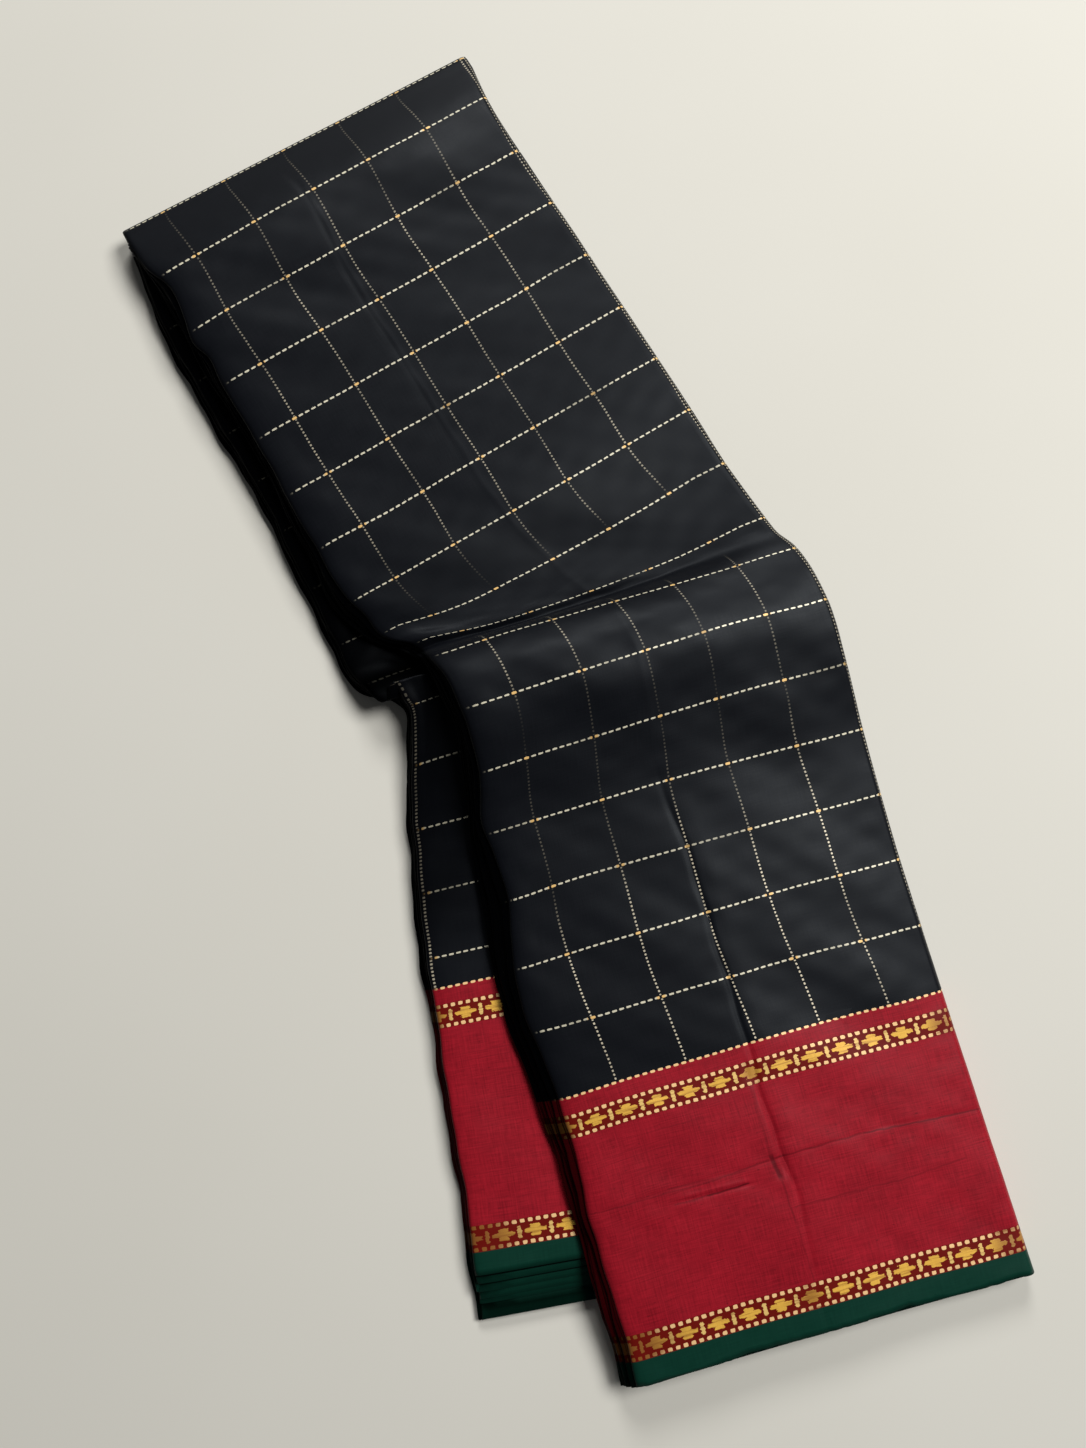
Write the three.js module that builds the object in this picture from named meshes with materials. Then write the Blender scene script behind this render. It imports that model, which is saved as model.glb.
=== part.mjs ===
// A folded saree: one long cloth folded into a bundle of leaves, the bundle
// folded once over itself and laid down with a bend. Millimetres, +Z up,
// +Y towards the fold, floor at z = 0, origin at the middle of the outline.
import * as THREE from 'three';

// ---- named sizes ----
const CHECK = 28.8;        // side of one woven check: the tables count cloth in checks
const LEAF = 1.1;          // wall of each outside leaf
const GAP = 0.35;          // air between two neighbouring pieces
const TURN = 1.5;          // small round where a leaf turns under on the left
const SPINE = 3.6;         // reach of the one big fold down the right-hand side
const REST = 1.0;          // air between the two bundles
const FALL = 9;            // run in which the upper bundle comes down to the floor
const THICKEST = 14;       // most that the upper bundle's leaves fill
const FOLD_REACH = 8;      // how far the end fold reaches past its first line
const FOLD_START = 0.3;    // check where the end fold begins to turn
const FOLD_EDGE = 0.44;    // check where the flat leaves begin
const RIDGES = 4;          // rolls of folded leaves showing down the left side
const ORIGIN = { x: 28.4845, y: 61.9587 };   // middle of the outline in the tables' own plan

// what the weaver does past the last check, in mm of cloth from the seam
const ZONES = {
  red_strip: { from: 0, to: 7 },
  zari_band_inner: { from: 7, to: 17 },
  red_border: { from: 17, to: 100 },
  zari_band_outer: { from: 100, to: 110 },
  selvedge: { from: 110, to: 120 },
};

const named = (columns, rows) => rows.map(r => Object.fromEntries(columns.map((c, i) => [c, r[i]])));

// UPPER bundle, top leaf. A row is one line of the weave: its left and right
// ends in plan, the height at the left, middle, shoulder and right, and how
// far the lower leaves step out on the left.
const UPPER = named(
  ['check', 'lx', 'ly', 'rx', 'ry', 'left', 'mid', 'shoulder', 'right', 'flare'], [
    [0.3, -55, 331, 119.3, 346, 15, 15, 15, 15, 2],
    [1, -47, 305, 118.7, 323.6, 21.5, 22, 22, 21, 5],
    [2.5, -41.6, 262.8, 123.7, 280.3, 24, 24, 23.5, 23, 7],
    [4, -34.9, 220.1, 130, 237.2, 24, 24, 23.5, 23, 7],
    [5.5, -31.4, 177.7, 135.8, 197.1, 24, 24, 23.5, 23, 7],
    [7, -28.5, 138.6, 141.7, 157.3, 23, 23, 22.5, 22, 8],
    [8, -19.3, 121.2, 145.6, 131.1, 19, 18.5, 19, 20, 9],
    [9, -9.2, 111.1, 151.2, 102.2, 20, 18, 18.5, 20.5, 9],
    [9.35, -6.5, 107.6, 152.5, 94.2, 17.5, 17.5, 19.5, 21.5, 9],
    [10, -2.4, 99.7, 155.9, 80.3, 33, 30, 27.5, 26, 9],
    [10.5, -0.6, 87, 157, 68.1, 40, 37, 32, 29.5, 9],
    [11, -0.5, 73.4, 157.2, 54.8, 41, 38.5, 33.5, 30, 9],
    [12, -6.6, 47.7, 154, 26.8, 34, 31.5, 28, 25, 9],
    [13, -15.1, 24, 150, -1.1, 27, 25.5, 22, 18, 9],
    [14, -20.8, -3.8, 145.6, -29.4, 25, 23.5, 20, 15, 10],
    [15.5, -29.2, -43.6, 139.3, -72.6, 24, 23, 18.5, 13.5, 10],
    [16.94, -32.7, -86.5, 133.7, -114.7, 23, 22.5, 17.5, 13, 9],
    [19, -39.9, -140.2, 126.6, -170.6, 22, 20.5, 15, 12.5, 8],
    [21.11, -50.2, -202, 119.1, -230.3, 17.5, 15, 12.5, 12, 5],
  ]);

// UNDER bundle, the same columns with its heights at the left, inside the
// left edge, middle and right.
const UNDER = named(
  ['check', 'lx', 'ly', 'rx', 'ry', 'left', 'inside', 'mid', 'right', 'flare'], [
    [0.3, -55.5, 331, 116.4, 345.5, 7.2, 7.2, 7.2, 7.2, 2],
    [1.5, -55.5, 297, 107, 311, 10.5, 10.5, 10.5, 10, 3],
    [4, -49, 227.5, 109.4, 239, 11, 11, 11, 10.5, 4],
    [6, -43.9, 177.4, 117, 183, 11, 11, 11, 10.5, 4],
    [7.8, -41, 126, 121, 129, 11, 9, 9, 9.5, 4],
    [8.5, -40, 111, 122.5, 110, 13, 7, 6.5, 8, 4],
    [8.9, -35.5, 102.7, 124, 98.5, 19, 8.5, 7.5, 8.5, 4],
    [9.3, -28, 96, 126, 87.5, 19.5, 12, 11, 10, 4],
    [9.8, -24.5, 88.5, 128, 73.5, 17, 17, 16, 12, 4],
    [10.8, -32.9, 64.5, 125.5, 43, 13, 19, 20, 15, 4],
    [11.8, -42.7, 39.1, 116.5, 12.5, 11.5, 13.5, 15, 12.5, 4],
    [12.8, -51.1, 13.3, 107.5, -16, 11, 11.5, 12, 11, 4],
    [14.23, -62.6, -24, 95.5, -57, 11, 11, 11, 10, 4],
    [18.4, -91.4, -138.7, 69.5, -171, 10.5, 10.5, 10.5, 10, 3],
    [19.1, -97.9, -159.3, 65, -191, 10.5, 10.5, 10.5, 10, 2],
  ]);

// where along the width each height column sits
const UPPER_ACROSS = { left: 0, mid: 0.5, shoulder: 0.78, right: 1 };
const UNDER_ACROSS = { left: 0, inside: 0.18, mid: 0.55, right: 1 };

const spread = (from, to, shares) => shares.map(f => from + (to - from) * f);

// ---- smooth reading of a table ----
function smooth(knots, values, at) {
  const n = knots.length;
  if (at <= knots[0]) return values[0];
  if (at >= knots[n - 1]) return values[n - 1];
  let i = 0;
  while (at > knots[i + 1]) i++;
  const slope = k => (values[k + 1] - values[k]) / (knots[k + 1] - knots[k]);
  const tangent = k => {
    if (k === 0) return slope(0);
    if (k === n - 1) return slope(n - 2);
    const a = knots[k] - knots[k - 1], b = knots[k + 1] - knots[k];
    return (slope(k - 1) * b + slope(k) * a) / (a + b);
  };
  const h = knots[i + 1] - knots[i], t = (at - knots[i]) / h, t2 = t * t, t3 = t2 * t;
  return (2 * t3 - 3 * t2 + 1) * values[i] + (t3 - 2 * t2 + t) * h * tangent(i)
    + (3 * t2 - 2 * t3) * values[i + 1] + (t3 - t2) * h * tangent(i + 1);
}

const column = (rows, name, check) => smooth(rows.map(r => r.check), rows.map(r => r[name]), check);

// one cross-section of a bundle: d runs from the left end of the weave line
function section(rows, acrossAt, check) {
  const [lx, ly, rx, ry, flare] = ['lx', 'ly', 'rx', 'ry', 'flare'].map(c => column(rows, c, check));
  const width = Math.hypot(rx - lx, ry - ly);
  const ex = (rx - lx) / width, ey = (ry - ly) / width;
  const names = Object.keys(acrossAt);
  const heights = names.map(c => column(rows, c, check));
  return {
    check, width, flare, ex, ey, lx, ly,
    plan: d => [lx + ex * d, ly + ey * d],
    top: d => smooth(names.map(c => acrossAt[c]), heights, d / width),
  };
}

const underAt = check => section(UNDER, UNDER_ACROSS, check);
const UNDER_END = 18.4, UNDER_LAST = 19.05;

// height that the upper bundle lies on, over any point of the plan, and how
// far that point is past the under bundle's right-hand side
function support(x, y) {
  const past = s => { const c = underAt(s); return (x - c.lx) * c.ey - (y - c.ly) * c.ex; };
  let lo = FOLD_START, hi = UNDER_END;
  if (past(lo) < 0) hi = lo;
  const beyond = past(hi);
  if (beyond < 0) {
    for (let k = 0; k < 22; k++) {
      const m = (lo + hi) / 2;
      if (past(m) > 0) lo = m; else hi = m;
    }
  }
  const c = underAt(hi), d = (x - c.lx) * c.ex + (y - c.ly) * c.ey;
  let z = c.top(Math.min(d, c.width));
  if (d > c.width + 2) z *= Math.max(0, 1 - (d - c.width - 2) / FALL);
  if (hi === UNDER_END && beyond > 16) z *= Math.max(0, 1 - (beyond - 16) / 80);
  return { z, aside: d - c.width };
}
function rest(x, y, reach) {
  let z = 0;
  for (const dx of [-reach, 0, reach]) for (const dy of [-reach, 0, reach]) z = Math.max(z, support(x + dx, y + dy).z);
  return z < 0.4 ? 0 : z + REST;
}

function upperAt(check) {
  const s = section(UPPER, UPPER_ACROSS, check);
  const reach = check > 7 && check < 13 ? 5.5 : 2.5;
  s.base = d => {
    const [x, y] = s.plan(d);
    return Math.max(rest(x, y, reach), s.top(d) - THICKEST);
  };
  // where the support falls away: the under bundle's side, crossed by this line
  const last = s.width - SPINE - 1;
  let lo = 0, hi = last;
  for (let k = 0; k < 18; k++) {
    const m = (lo + hi) / 2;
    if (support(...s.plan(m)).aside < 0) lo = m; else hi = m;
  }
  const brink = Math.min(lo + 1.5 + reach, last - 6), foot = Math.min(brink + FALL + 1, last - 3);
  s.under = [last, (last + foot) / 2, foot, brink, ...spread(brink, 2 - s.flare, [0.2, 0.4, 0.58, 0.72, 0.83, 0.92, 1])];
  return s;
}
function lowerAt(check) {
  const s = underAt(check);
  s.base = () => 0;
  s.under = spread(s.width - SPINE - 1, 2 - s.flare, [0, 0.3, 0.6, 0.9, 1]);
  return s;
}

// ---- profiles of one section, as [d, z] ----
const arc = (cx, cz, rd, rz, from, to, steps) => Array.from({ length: steps + 1 }, (_, i) => {
  const a = (from + (to - from) * i / steps) * Math.PI / 180;
  return [cx + rd * Math.cos(a), cz + rz * Math.sin(a)];
});

// top leaf: rounded turn on the left, flat over the top, down round the spine
function leafProfile(s, shares) {
  const end = s.width - SPINE, zt = s.top(end), zb = s.base(end);
  const cz = (zt + zb) / 2, rz = (zt - zb) / 2, z0 = s.top(TURN);
  const over = arc(TURN, z0 - TURN, TURN, TURN, 180, 90, 2);
  const under = arc(TURN, z0 - TURN, TURN - LEAF, TURN - LEAF, 180, 90, 2);
  for (const d of spread(TURN, end, shares)) {
    over.push([d, s.top(d)]);
    under.push([d, s.top(d) - LEAF]);
  }
  over.push(...arc(end, cz, SPINE, rz, 90, -80, 5));
  under.push(...arc(end, cz, SPINE - LEAF, rz - LEAF, 90, -80, 5));
  return over.concat(under.reverse());
}

// the leaves inside: rolls stepping out on the left, round inside the spine
function coreProfile(s, shares, lift) {
  const skin = LEAF + GAP, end = s.width - SPINE;
  const zt = s.top(end), zb = s.base(end), cz = (zt + zb) / 2, rz = (zt - zb) / 2;
  const p = [];
  p.push([TURN - 0.1, s.top(TURN) - TURN - GAP - 0.2], [TURN + 0.35, s.top(TURN) - skin - 0.1]);
  for (const d of spread(TURN, end, shares)) p.push([d, s.top(d) - skin]);
  p.push(...arc(end, cz, SPINE - skin, rz - skin, 90, -80, 5));
  p.push([end - 0.3, zb + skin + 0.1]);
  for (const d of s.under) p.push([d, s.base(d) + lift]);
  const foot = Math.max(s.base(2 - s.flare), s.base(-1 - s.flare)) + lift + 0.1, head = s.top(0) - TURN - GAP - 0.5;
  const step = (head - foot) / RIDGES, out = s.flare / RIDGES;
  for (let k = 0; k < RIDGES; k++) {
    const d = -s.flare + out * k, z = foot + step * k;
    p.push([d, z + 0.06 * step], [d - 0.7, z + 0.4 * step], [d + out * 0.3, z + 0.9 * step]);
  }
  return p;
}

const flatProfile = (s, z0, z1, from, to) => {
  const ds = spread(from, to, [0, 0.5, 1]);
  return ds.map(d => [d, z0]).concat(ds.slice().reverse().map(d => [d, z1]));
};

// ---- solids ----
function tidy(profile) {
  return profile.filter((p, i) => {
    const q = profile[(i + 1) % profile.length];
    return Math.hypot(p[0] - q[0], p[1] - q[1]) > 0.02;
  });
}
// rings of [d, z], each with its own place(d) in plan, joined along the cloth
function loft(rings) {
  const n = rings[0].profile.length;
  const area = rings[0].profile.reduce((a, p, i, r) => {
    const q = r[(i + 1) % n];
    return a + p[0] * q[1] - q[0] * p[1];
  }, 0);
  const points = [], faces = [];
  const rightward = (k, i) => {
    const r = rings[k].profile, at = j => r[area > 0 ? j % n : n - 1 - j % n][0];
    return at(i + 1) >= at(i);
  };
  for (const ring of rings) {
    if (ring.profile.length !== n) throw new Error('rings differ');
    const profile = area > 0 ? ring.profile : ring.profile.slice().reverse();
    for (const [d, z] of profile) points.push([...ring.place(d), z]);
  }
  for (let k = 0; k + 1 < rings.length; k++) {
    for (let i = 0; i < n; i++) {
      const a = k * n + i, b = k * n + (i + 1) % n;
      // neighbours share one diagonal, so that their walls stay apart
      if (rightward(k, i)) faces.push([a, b, b + n], [a, b + n, a + n]);
      else faces.push([a, b, a + n], [b, b + n, a + n]);
    }
  }
  for (const [k, sign] of [[0, -1], [rings.length - 1, 1]]) {
    const flat = (area > 0 ? rings[k].profile : rings[k].profile.slice().reverse())
      .map(p => new THREE.Vector2(p[0], p[1]));
    for (const [a, b, c] of THREE.ShapeUtils.triangulateShape(flat, [])) {
      const turn = (flat[b].x - flat[a].x) * (flat[c].y - flat[a].y) - (flat[b].y - flat[a].y) * (flat[c].x - flat[a].x);
      faces.push(turn * sign > 0 ? [k * n + a, k * n + b, k * n + c] : [k * n + a, k * n + c, k * n + b]);
    }
  }
  const geometry = new THREE.BufferGeometry();
  geometry.setAttribute('position', new THREE.Float32BufferAttribute(
    points.flatMap(([x, y, z]) => [x - ORIGIN.x, y - ORIGIN.y, z]), 3));
  geometry.setIndex(faces.flat());
  return geometry;
}

const along = (sectionAt, checks, profile) => loft(checks.map(c => {
  const s = sectionAt(c);
  return { place: d => s.plan(d), profile: profile(s) };
}));

// stations between two checks: the ends, and any of the given ones inside
const STATIONS = [1, 2, 3.2, 4.6, 6, 7, 7.6, 8.1, 8.6, 9, 9.35, 9.65, 10, 10.35, 10.7, 11.1, 11.6, 12.2, 13, 14, 15.4, 18.2, 19.4];
const stations = (from, to) => [from, ...STATIONS.filter(c => c > from + 0.2 && c < to - 0.2), to];
const half = GAP / 2 / CHECK;
const zoneEnds = (seam, zone) => [seam + ZONES[zone].from / CHECK + half, seam + ZONES[zone].to / CHECK - half];

const CLOTH = {
  black: { color: 0x1a1c22, roughness: 0.55 },
  red: { color: 0x8c1420, roughness: 0.5 },
  zari: { color: 0xb08a3a, roughness: 0.4, metalness: 0.3 },
  green: { color: 0x0b4a34, roughness: 0.5 },
};

function build() {
  const group = new THREE.Group();
  const add = (name, geometry, look) => {
    const mesh = new THREE.Mesh(geometry, new THREE.MeshStandardMaterial(CLOTH[look]));
    mesh.name = name;
    group.add(mesh);
  };
  const WIDE = [0.1, 0.22, 0.36, 0.5, 0.62, 0.74, 0.86, 0.95];
  const NEAR = [0.04, 0.09, 0.15, 0.22, 0.32, 0.5, 0.75];
  const bundles = [
    { at: upperAt, seam: 16.94, tag: 'upper', shares: WIDE, lift: 0 },
    { at: lowerAt, seam: 14.23, tag: 'under', shares: NEAR, lift: LEAF + GAP },
  ];
  const looks = { red_strip: 'red', zari_band_inner: 'zari', red_border: 'red', zari_band_outer: 'zari', selvedge: 'green' };
  for (const b of bundles) {
    // the leaf on top of the bundle, one piece for each stretch of the weave
    add(`field_${b.tag}`, along(b.at, stations(FOLD_EDGE, b.seam - half), s => leafProfile(s, b.shares)), 'black');
    for (const zone of Object.keys(ZONES)) {
      const [from, to] = zoneEnds(b.seam, zone);
      add(`${zone}_${b.tag}`, along(b.at, stations(from, to), s => leafProfile(s, b.shares)), looks[zone]);
    }
    // the leaves folded inside it
    const red = b.seam, green = b.seam + ZONES.selvedge.from / CHECK;
    add(`inner_field_${b.tag}`, along(b.at, stations(FOLD_EDGE, red - half), s => coreProfile(s, b.shares, b.lift)), 'black');
    add(`inner_border_${b.tag}`, along(b.at, stations(red + half, green - half), s => coreProfile(s, b.shares, b.lift)), 'red');
  }
  // cut ends of the inner leaves: nearly even above, stepping out below
  const upperEnd = 16.94 + 120 / CHECK;
  add('inner_selvedge_upper', along(upperAt, [16.94 + 110 / CHECK + half, upperEnd + 0.02], s => coreProfile(s, WIDE, 0)), 'green');
  const STEPS = 5, tread = (UNDER_LAST - UNDER_END) / STEPS;
  const stairs = [14.23 + 110 / CHECK + half, UNDER_END];
  for (let k = 1; k <= STEPS; k++) stairs.push(UNDER_END + tread * (k - 1) + 0.012, UNDER_END + tread * k);
  const stepDown = s => {
    const k = Math.max(0, Math.ceil((s.check - UNDER_END - 0.001) / tread));
    const full = s.top;
    const drop = k * (full(0) - LEAF - GAP - 3.4) / STEPS;
    return { ...s, top: d => full(d) - drop };
  };
  add('inner_selvedge_under', along(lowerAt, stairs, s => coreProfile(stepDown(s), [0.1, 0.3, 0.6], LEAF + GAP)), 'green');

  // the leaf under the bundle, flat on whatever it rests on
  const sole = (from, to) => along(lowerAt, stations(from, to),
    s => flatProfile(s, 0, LEAF, 1 - s.flare, s.width - SPINE - 0.5));
  add('sole_field', sole(FOLD_EDGE, 14.23 - half), 'black');
  add('sole_border', sole(14.23 + half, 14.23 + 110 / CHECK - half), 'red');
  add('sole_selvedge', sole(14.23 + 110 / CHECK + half, UNDER_LAST - 0.02), 'green');

  // the end fold: the outside leaf goes round it, the inner leaves fill it
  const open = FOLD_EDGE - GAP / CHECK;
  const a = upperAt(FOLD_START), b = upperAt(open), c = lowerAt(open);
  const high = a.top(0);
  const across = (share, margin) => share * (a.width - margin);
  const nx = -a.ey, ny = a.ex;
  const bend = (share, inset, squeeze) => {
    const cz = high / 2, r = squeeze;
    const rd = (FOLD_REACH - inset) * r, rz = (high / 2 - inset) * r;
    const behind = s => { const [px, py] = s.plan(share * s.width), [qx, qy] = a.plan(share * a.width); return (px - qx) * nx + (py - qy) * ny; };
    const near = Math.max(behind(b), behind(c));
    const back = [inset > LEAF ? near : behind(b), cz + (b.top(share * b.width) - inset - cz) * r];
    const foot = [inset > LEAF ? near : behind(c), cz + (inset - cz) * r];
    return [back, ...arc(0, cz, rd, rz, 90, -90, 8), foot];
  };
  const foldPlace = share => v => { const [x, y] = a.plan(share * a.width); return [x + nx * v, y + ny * v]; };
  const FOLD_SHARES = [0, 0.2, 0.4, 0.6, 0.8, 1];
  add('fold_cover', loft(FOLD_SHARES.map(f => ({
    place: foldPlace(f),
    profile: bend(f, 0, 1).concat(bend(f, LEAF, 1).reverse()),
  }))), 'black');
  const PLUG = [[-0.018, 0.6], [-0.01, 0.86], [0.01, 0.98], [0.3, 1], [0.7, 1], [0.99, 0.98], [1.004, 0.8]];
  add('inner_fold', loft(PLUG.map(([f, r]) => ({ place: foldPlace(f), profile: bend(Math.min(1, Math.max(0, f)), LEAF + GAP, r) }))), 'black');
  return group;
}

export default build();
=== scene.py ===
# A folded saree lying flat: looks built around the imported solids.
# Sizes are in millimetres in the tables, as in the part's source, and go to metres at the end.
import bpy, math
import numpy as np
from mathutils import Matrix, Vector


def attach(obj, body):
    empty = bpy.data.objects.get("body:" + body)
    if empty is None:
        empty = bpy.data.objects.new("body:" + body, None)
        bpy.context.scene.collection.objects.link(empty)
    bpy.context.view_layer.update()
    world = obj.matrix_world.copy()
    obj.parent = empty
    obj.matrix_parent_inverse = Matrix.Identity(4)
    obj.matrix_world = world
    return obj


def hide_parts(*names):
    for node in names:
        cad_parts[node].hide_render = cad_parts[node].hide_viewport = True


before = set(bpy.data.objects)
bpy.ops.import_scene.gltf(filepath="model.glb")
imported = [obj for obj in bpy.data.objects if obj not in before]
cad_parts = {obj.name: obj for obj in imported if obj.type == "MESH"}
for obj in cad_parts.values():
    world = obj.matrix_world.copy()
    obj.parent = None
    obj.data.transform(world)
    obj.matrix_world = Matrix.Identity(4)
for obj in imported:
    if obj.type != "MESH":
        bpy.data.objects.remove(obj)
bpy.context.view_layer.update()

# ---------------------------------------------------------------- sizes
CHECK = 28.8          # side of a woven check, mm
TURN = 1.5            # small round where a leaf turns under on the left
SPINE = 3.6           # reach of the round fold down the right-hand side
REST = 1.0            # air between the two bundles
FALL = 9.0            # run in which the upper bundle comes down to the floor
THICKEST = 14.0
FOLD_REACH = 8.0
FOLD_START = 0.3
UNDER_END = 18.4
ORIGIN = (28.4845, 61.9587)
WIDTH = 161.0         # bundle, mm
SEAM = {"upper": 16.94, "under": 14.27}
PAIRS = 13            # folded leaf pairs inside each bundle
SILK = 0.28           # leaf thickness, mm
rng = np.random.default_rng(11)

UPPER_COLUMNS = ["check", "lx", "ly", "rx", "ry", "left", "mid", "shoulder", "right", "flare"]
UPPER = [
    [0.3, -55, 331, 119.3, 346, 15, 15, 15, 15, 2],
    [1, -47, 305, 118.7, 323.6, 21.5, 22, 22, 21, 5],
    [2.5, -41.6, 262.8, 123.7, 280.3, 24, 24, 23.5, 23, 7],
    [4, -34.9, 220.1, 130, 237.2, 24, 24, 23.5, 23, 7],
    [5.5, -31.4, 177.7, 135.8, 197.1, 24, 24, 23.5, 23, 7],
    [7, -28.5, 138.6, 141.7, 157.3, 23, 23, 22.5, 22, 8],
    [8, -19.3, 121.2, 145.6, 131.1, 19, 18.5, 19, 20, 9],
    [9, -9.2, 111.1, 151.2, 102.2, 20, 18, 18.5, 20.5, 9],
    [9.35, -6.5, 107.6, 152.5, 94.2, 17.5, 17.5, 19.5, 21.5, 9],
    [10, -2.4, 99.7, 155.9, 80.3, 33, 30, 27.5, 26, 9],
    [10.5, -0.6, 87, 157, 68.1, 40, 37, 32, 29.5, 9],
    [11, -0.5, 73.4, 157.2, 54.8, 41, 38.5, 33.5, 30, 9],
    [12, -6.6, 47.7, 154, 26.8, 34, 31.5, 28, 25, 9],
    [13, -15.1, 24, 150, -1.1, 27, 25.5, 22, 18, 9],
    [14, -20.8, -3.8, 145.6, -29.4, 25, 23.5, 20, 15, 10],
    [15.5, -29.2, -43.6, 139.3, -72.6, 24, 23, 18.5, 13.5, 10],
    [16.94, -32.7, -86.5, 133.7, -114.7, 23, 22.5, 17.5, 13, 9],
    [19, -39.9, -140.2, 126.6, -170.6, 22, 20.5, 15, 12.5, 8],
    [21.11, -50.2, -202, 119.1, -230.3, 17.5, 15, 12.5, 12, 5],
]
UNDER_COLUMNS = ["check", "lx", "ly", "rx", "ry", "left", "inside", "mid", "right", "flare"]
UNDER = [
    [0.3, -55.5, 331, 116.4, 345.5, 7.2, 7.2, 7.2, 7.2, 2],
    [1.5, -55.5, 297, 107, 311, 10.5, 10.5, 10.5, 10, 3],
    [4, -49, 227.5, 109.4, 239, 11, 11, 11, 10.5, 4],
    [6, -43.9, 177.4, 117, 183, 11, 11, 11, 10.5, 4],
    [7.8, -41, 126, 121, 129, 11, 9, 9, 9.5, 4],
    [8.5, -40, 111, 122.5, 110, 13, 7, 6.5, 8, 4],
    [8.9, -35.5, 102.7, 124, 98.5, 19, 8.5, 7.5, 8.5, 4],
    [9.3, -28, 96, 126, 87.5, 19.5, 12, 11, 10, 4],
    [9.8, -24.5, 88.5, 128, 73.5, 17, 17, 16, 12, 4],
    [10.8, -32.9, 64.5, 125.5, 43, 13, 19, 20, 15, 4],
    [11.8, -42.7, 39.1, 116.5, 12.5, 11.5, 13.5, 15, 12.5, 4],
    [12.8, -51.1, 13.3, 107.5, -16, 11, 11.5, 12, 11, 4],
    [14.23, -62.6, -24, 95.5, -57, 11, 11, 11, 10, 4],
    [18.4, -91.4, -138.7, 69.5, -171, 10.5, 10.5, 10.5, 10, 3],
    [19.1, -97.9, -159.3, 65, -191, 10.5, 10.5, 10.5, 10, 2],
]
UPPER_ACROSS = [("left", 0.0), ("mid", 0.5), ("shoulder", 0.78), ("right", 1.0)]
UNDER_ACROSS = [("left", 0.0), ("inside", 0.18), ("mid", 0.55), ("right", 1.0)]

# how far the woven rows bow down the cloth (+) or up it (-) from the plain form, mm, at six distances in
SAG_COLUMNS = ["check", "at6", "at30", "at60", "at90", "at120", "at148"]
SAG = [
    [0.3, -0.5, -0.5, -0.5, -0.5, -0.5, -0.5],
    [1, -2.2, -2.5, -3.0, -2.7, -2.4, -2.6],
    [2, -0.9, -1.6, -1.3, -1.1, -1.3, -1.4],
    [3, -0.4, -0.4, -0.4, -0.6, -1.0, -1.8],
    [4, -0.4, -0.3, -0.6, -0.7, -1.0, -2.4],
    [5, -0.6, -0.3, -0.6, -0.5, -0.7, -1.1],
    [6, -1.1, -0.1, -0.4, -0.4, -0.3, -0.3],
    [7, 0.4, 0.8, 0.8, 0.7, 0.5, -0.1],
    [8, -0.3, 3.9, 4.6, 4.1, 3.2, 1.1],
    [9, -0.5, 2.9, 4.4, 4.8, 4.1, 1.5],
    [10, -0.9, -1.5, -1.3, -1.3, -1.3, -1.8],
    [11, -0.7, -1.2, -1.8, -2.3, -2.6, -1.6],
    [12, -0.5, -1.3, -1.8, -2.3, -2.5, -1.7],
    [13, -0.5, -1.2, -2.0, -2.5, -2.4, -1.8],
    [14, 0.0, -1.6, -2.1, -2.4, -2.3, -1.9],
    [15, 0.9, -0.3, -1.2, -2.1, -2.7, -2.5],
    [16, -0.9, -1.5, -2.6, -3.3, -3.9, -3.1],
    [16.94, -0.6, -2.0, -2.7, -3.5, -3.3, -2.4],
    [20.76, 0.8, 0.0, -0.5, -0.4, -0.3, 0.2],
    [21.3, 0.6, 0.0, -0.3, -0.3, -0.3, 0.2],
]
SAG_AT = [6.0, 30.0, 60.0, 90.0, 120.0, 148.0]

# where the woven lines across the upper leaf lie, mm from its left edge
LINES_COLUMNS = ["check", "first", "second", "third", "fourth", "fifth", "edge_line"]
LINES = [
    [0.3, 20.5, 51.0, 80.2, 108.5, 137.8, 171.5],
    [1.5, 16.8, 46.5, 75.8, 102.5, 132.8, 162.9],
    [3, 17.5, 47.0, 75.9, 102.7, 132.7, 163.9],
    [4.5, 17.2, 47.0, 76.0, 102.5, 132.5, 164.4],
    [5.5, 19.2, 48.8, 77.8, 104.5, 134.0, 166.3],
    [6.5, 22.0, 51.8, 80.5, 107.2, 137.5, 169.3],
    [7.5, 21.2, 50.2, 79.0, 106.0, 136.3, 166.6],
    [9, 20.5, 49.5, 77.5, 104.0, 133.5, 158.6],
    [10.5, 20.2, 49.0, 76.5, 102.0, 130.2, 156.8],
    [11.5, 19.8, 48.8, 76.8, 102.5, 130.8, 158.6],
    [12.5, 20.0, 49.5, 79.0, 104.0, 134.2, 164.0],
    [13.5, 22.0, 51.2, 80.2, 107.0, 137.5, 167.4],
    [14.5, 22.2, 52.8, 82.2, 108.8, 140.0, 168.8],
    [15.5, 24.5, 54.5, 84.2, 111.5, 142.2, 170.4],
    [21.3, 24.0, 54.0, 83.8, 111.2, 141.5, 170.6],
]
UNDER_LINES = [1.7, 52.0, 80.0, 108.0, 137.0, 160.0]

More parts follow.
